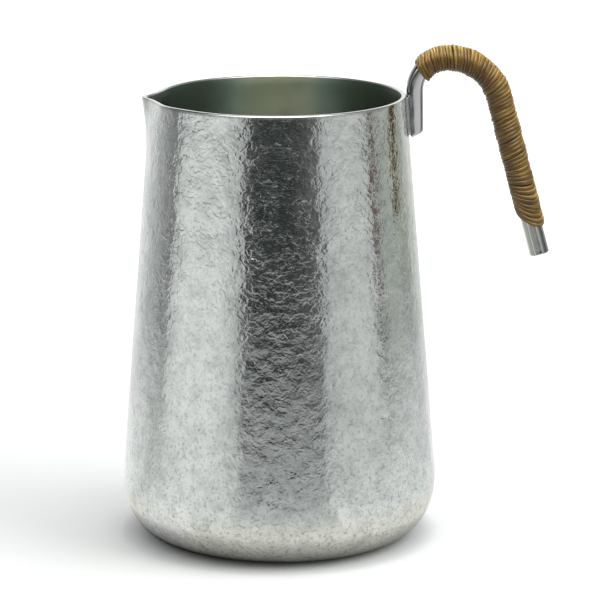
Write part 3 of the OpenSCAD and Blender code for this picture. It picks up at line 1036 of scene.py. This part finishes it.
def make_floor():
    """A white table. A faint glow to the camera keeps it white where no shadow falls, and a contact shadow
    is painted round the foot.
    """
    corners = [
        (FLOOR_LEFT, FLOOR_FRONT, 0),
        (FLOOR_RIGHT, FLOOR_FRONT, 0),
        (FLOOR_RIGHT, FLOOR_BACK, 0),
        (FLOOR_LEFT, FLOOR_BACK, 0),
    ]
    mesh = bpy.data.meshes.new("floor")
    mesh.from_pydata(corners, [], [(0, 1, 2, 3)])
    material, nodes, shader, place = new_material("floor")
    shader.inputs["Roughness"].default_value = 0.9
    shader.inputs["Specular IOR Level"].default_value = 0.1
    shader.inputs["Emission Color"].default_value = (1, 1, 1, 1)
    away = nodes.length(place)
    # Painted contact shadow round the foot
    painted_contact_shadow = nodes.remap(away, CONTACT_R, CONTACT_END_R, CONTACT_SHADE, 1.0)
    nodes.put(shader.inputs["Base Color"], nodes.vector("SCALE", FLOOR_COLOUR, scale=painted_contact_shadow))
    near_glow = nodes.remap(away, NEAR_GLOW_R, NEAR_GLOW_END_R, FOOT_GLOW, FLOOR_GLOW)
    glow = nodes.remap(away, FAR_GLOW_R, FAR_GLOW_END_R, near_glow, FAR_GLOW)
    seen = nodes.add("LightPath").outputs["Is Camera Ray"]
    nodes.put(shader.inputs["Emission Strength"], nodes.math("MULTIPLY", seen, glow))
    material.cycles.emission_sampling = "NONE"
    mesh.materials.append(material)
    floor = add_object("floor", mesh)
    floor.visible_diffuse = False
    floor.visible_glossy = False
    floor.visible_transmission = False


# The studio as the metal mirrors it: a tent and a table card, in metres
TENT_R = 1.5
TENT_TOP = 1.2
TENT_SIDES = 120
CARD_Z = -0.0005
# Shares of the tent's height between which its wall goes over from one table of light to the next
PANEL_END_SHARE = 0.25
OVERHEAD_START_SHARE, OVERHEAD_FULL_SHARE = 0.55, 0.75

# Brightness of the studio round the object at the table: (degrees from the camera's side, brightness).
# White panels stand left and right in front. A brown strip and a dim olive one at the end of the right
# panel are painted reflections of the handle's rattan winding, and the room behind the camera is dark.
STUDIO = (
    (-180, 0.95),
    (-150, 0.88),
    (-137, 0.73),
    (-127, 0.56),
    (-119, 0.47),
    (-108, 0.32),
    (-96.5, 0.21),
    (-93.5, 0.62),
    (-88, 0.72),
    (-80, 0.82),
    (-50, 0.81),
    (-40, 0.70),
    (-34, 0.58),
    (-29, 0.46),
    (-26, 0.08),
    (-16, (0.010, 0.018, 0.016)),
    (12, (0.013, 0.021, 0.019)),
    (24, 0.08),
    (32, 0.13),
    (36, 0.46),
    (44, 0.58),
    (62, 0.66),
    (78, 0.60),
    (83.6, 0.47),
    (85.2, (0.165, 0.096, 0.080)),
    (90.2, (0.165, 0.096, 0.080)),
    (91.8, (0.415, 0.425, 0.405)),
    (111, (0.465, 0.485, 0.455)),
    (118, (0.350, 0.355, 0.300)),
    (129, (0.380, 0.385, 0.340)),
    (141, (0.620, 0.650, 0.600)),
    (180, 0.98),
)
# The wall of the room just above the panels: dim over them, and paler over the dark middle
ABOVE = (
    (-180, 0.95),
    (-150, 0.60),
    (-110, 0.14),
    (-86, 0.22),
    (-60, 0.36),
    (-34, 0.50),
    (-20, 0.15),
    (25, 0.15),
    (40, 0.42),
    (75, 0.42),
    (95, 0.20),
    (150, 0.60),
    (180, 0.95),
)
# The top of the wall and the ceiling: a strong warm light over the camera's side, and dim elsewhere
OVERHEAD = (
    (-180, 0.40),
    (-130, 0.03),
    (-93, 0.02),
    (-76, 0.06),
    (-70, 0.35),
    (-64, 1.30),
    (-56, 2.00),
    (-40, 2.10),
    (-36, (4.400, 3.700, 2.900)),
    (-20, (4.000, 3.350, 2.650)),
    (-4, (3.100, 2.600, 2.100)),
    (12, (4.400, 3.700, 2.900)),
    (28, (4.500, 3.800, 3.000)),
    (46, 2.90),
    (57, 1.50),
    (72, 0.50),
    (85, 0.08),
    (105, 0.30),
    (150, 0.10),
    (180, 0.40),
)
# The table near the object: how fast its brightness fades, and its share of that all round
TABLE_FADE = 0.50
TABLE_SHARE = (
    (-180, 1.25),
    (-137, 1.22),
    (-118, 1.12),
    (-104, 0.97),
    (-96, 0.84),
    (-92, 1.00),
    (-29, 1.00),
    (-25, 0.69),
    (30, 0.69),
    (35, 1.00),
    (132, 1.00),
    (145, 1.22),
    (180, 1.25),
)
# The lit ring of it round the foot, and the painted shadow under the foot, whose middle is shifted to the
# left
NEAR_TABLE = (0.84, 0.81, 0.75, 1)
NEAR_TABLE_R, NEAR_TABLE_END_R = 0.044, 0.080
UNDER_X = -0.002
UNDER_R, UNDER_END_R, UNDER_SHADE = 0.0315, 0.047, 0.02


def seen_only_by_metal(stage_object):
    """Lets only mirror rays see a card, so that it neither shows nor lights the floor."""
    stage_object.visible_camera = False
    stage_object.visible_diffuse = False
    stage_object.visible_shadow = False
    stage_object.visible_volume_scatter = False


def azimuth_light(nodes, x, y, stops):
    """Brightness from a table of stops in the direction (x, y) from the object."""
    turn = nodes.math("ARCTAN2", x, nodes.math("MULTIPLY", y, -1.0))
    share = nodes.math("ADD", nodes.math("DIVIDE", turn, 2 * math.pi), 0.5)
    return nodes.ramp(share, [((a + 180) / 360, level) for a, level in stops])


def glowing_material(name):
    """An emission material with its nodes helper and its object coordinates."""
    material = bpy.data.materials.new(name)
    material.use_nodes = True
    tree = material.node_tree
    tree.nodes.clear()
    nodes = Nodes(tree)
    x, y, z = nodes.split(nodes.add("TexCoord").outputs["Object"])
    glow = nodes.add("Emission")
    output = nodes.add("OutputMaterial")
    tree.links.new(glow.outputs[0], output.inputs[0])
    material.cycles.emission_sampling = "NONE"
    return material, nodes, glow, (x, y, z)


def tent_ring(z):
    """Points all round the tent at a height."""
    turn = 2 * math.pi * np.arange(TENT_SIDES) / TENT_SIDES
    return np.column_stack([np.cos(turn) * TENT_R, np.sin(turn) * TENT_R, np.full(TENT_SIDES, z)])


def make_tent():
    """Panels and a ceiling all round the object, which only its metal mirrors."""
    mesh = bpy.data.meshes.new("studio_tent")
    points = np.vstack([tent_ring(CARD_Z), tent_ring(TENT_TOP)])
    faces = band(0, TENT_SIDES, TENT_SIDES, TENT_SIDES) + [tuple(range(TENT_SIDES, 2 * TENT_SIDES))]
    mesh.from_pydata(points.tolist(), [], faces)
    material, nodes, glow, (x, y, z) = glowing_material("studio_tent")
    panels = azimuth_light(nodes, x, y, STUDIO)
    above = azimuth_light(nodes, x, y, ABOVE)
    overhead = azimuth_light(nodes, x, y, OVERHEAD)
    low = nodes.remap(z, 0.0, PANEL_END_SHARE * TENT_TOP, 0.0, 1.0)
    high = nodes.remap(z, OVERHEAD_START_SHARE * TENT_TOP, OVERHEAD_FULL_SHARE * TENT_TOP, 0.0, 1.0)
    nodes.put(glow.inputs["Color"], nodes.blend(high, nodes.blend(low, panels, above), overhead))
    mesh.materials.append(material)
    tent = add_object("studio_tent", mesh)
    seen_only_by_metal(tent)


def make_table_card():
    """The table as the metal mirrors it, a painted reflection: pale near the object, a painted shadow under
    the foot, and the room's tones further off.
    """
    mesh = bpy.data.meshes.new("table_card")
    mesh.from_pydata(tent_ring(CARD_Z).tolist(), [], [tuple(range(TENT_SIDES))])
    material, nodes, glow, (x, y, z) = glowing_material("table_card")
    away = nodes.length(nodes.add("CombineXYZ", x, y).outputs[0])
    fade = nodes.math("EXPONENT", nodes.math("DIVIDE", away, -TABLE_FADE))
    table = nodes.vector("SCALE", azimuth_light(nodes, x, y, TABLE_SHARE), scale=fade)
    close = nodes.remap(away, NEAR_TABLE_R, NEAR_TABLE_END_R, 1.0, 0.0)
    table = nodes.blend(close, table, NEAR_TABLE)
    light = nodes.vector("MAXIMUM", azimuth_light(nodes, x, y, STUDIO), table)
    # Painted shadow under the foot
    from_middle = nodes.length(nodes.add("CombineXYZ", nodes.math("SUBTRACT", x, UNDER_X), y).outputs[0])
    under = nodes.remap(from_middle, UNDER_R, UNDER_END_R, UNDER_SHADE, 1.0)
    nodes.put(glow.inputs["Color"], nodes.vector("SCALE", light, scale=under))
    mesh.materials.append(material)
    card = add_object("table_card", mesh)
    seen_only_by_metal(card)


# Soft light of the world at the horizon and from straight above
HORIZON_LIGHT, ZENITH_LIGHT = 0.06, 0.98


def make_world():
    """Soft light, strongest from above, and plain white to the camera and in mirrors."""
    world = bpy.data.worlds.new("studio")
    bpy.context.scene.world = world
    world.use_nodes = True
    world.cycles.sampling_method = "NONE"
    tree = world.node_tree
    tree.nodes.clear()
    nodes = Nodes(tree)
    z = nodes.split(nodes.add("TexCoord").outputs["Generated"])[2]
    light = nodes.remap(z, 0.0, 1.0, HORIZON_LIGHT, ZENITH_LIGHT)
    rays = nodes.add("LightPath").outputs
    plain = nodes.math("MAXIMUM", rays["Is Camera Ray"], rays["Is Glossy Ray"])
    plain = nodes.math("MAXIMUM", plain, rays["Is Transmission Ray"])
    background = nodes.add("Background", nodes.blend(plain, light, (1, 1, 1, 1)), 1.0)
    output = nodes.add("OutputWorld")
    tree.links.new(background.outputs[0], output.inputs[0])


# Where the lamps point, in metres
LAMP_TARGET = (0, 0, 0.05)


def make_lamp(name, place, size, energy):
    """A round soft lamp that points at the object and isn't mirrored by it."""
    data = bpy.data.lights.new(name, "AREA")
    data.shape = "DISK"
    data.size = size
    data.energy = energy
    lamp = add_object(name, data)
    lamp.location = place
    lamp.rotation_euler = (Vector(LAMP_TARGET) - lamp.location).to_track_quat("-Z", "Y").to_euler()
    lamp.visible_glossy = False


make_camera()
make_floor()
make_tent()
make_table_card()
make_world()
make_lamp("key", (0.85, -0.25, 0.80), 0.95, 6.4)
make_lamp("top", (0.15, 0.10, 1.10), 0.5, 2.6)
make_cup()
make_bar()
make_solder()
make_winding()

bpy.context.scene.view_settings.view_transform = "Standard"

bpy.context.view_layer.update()
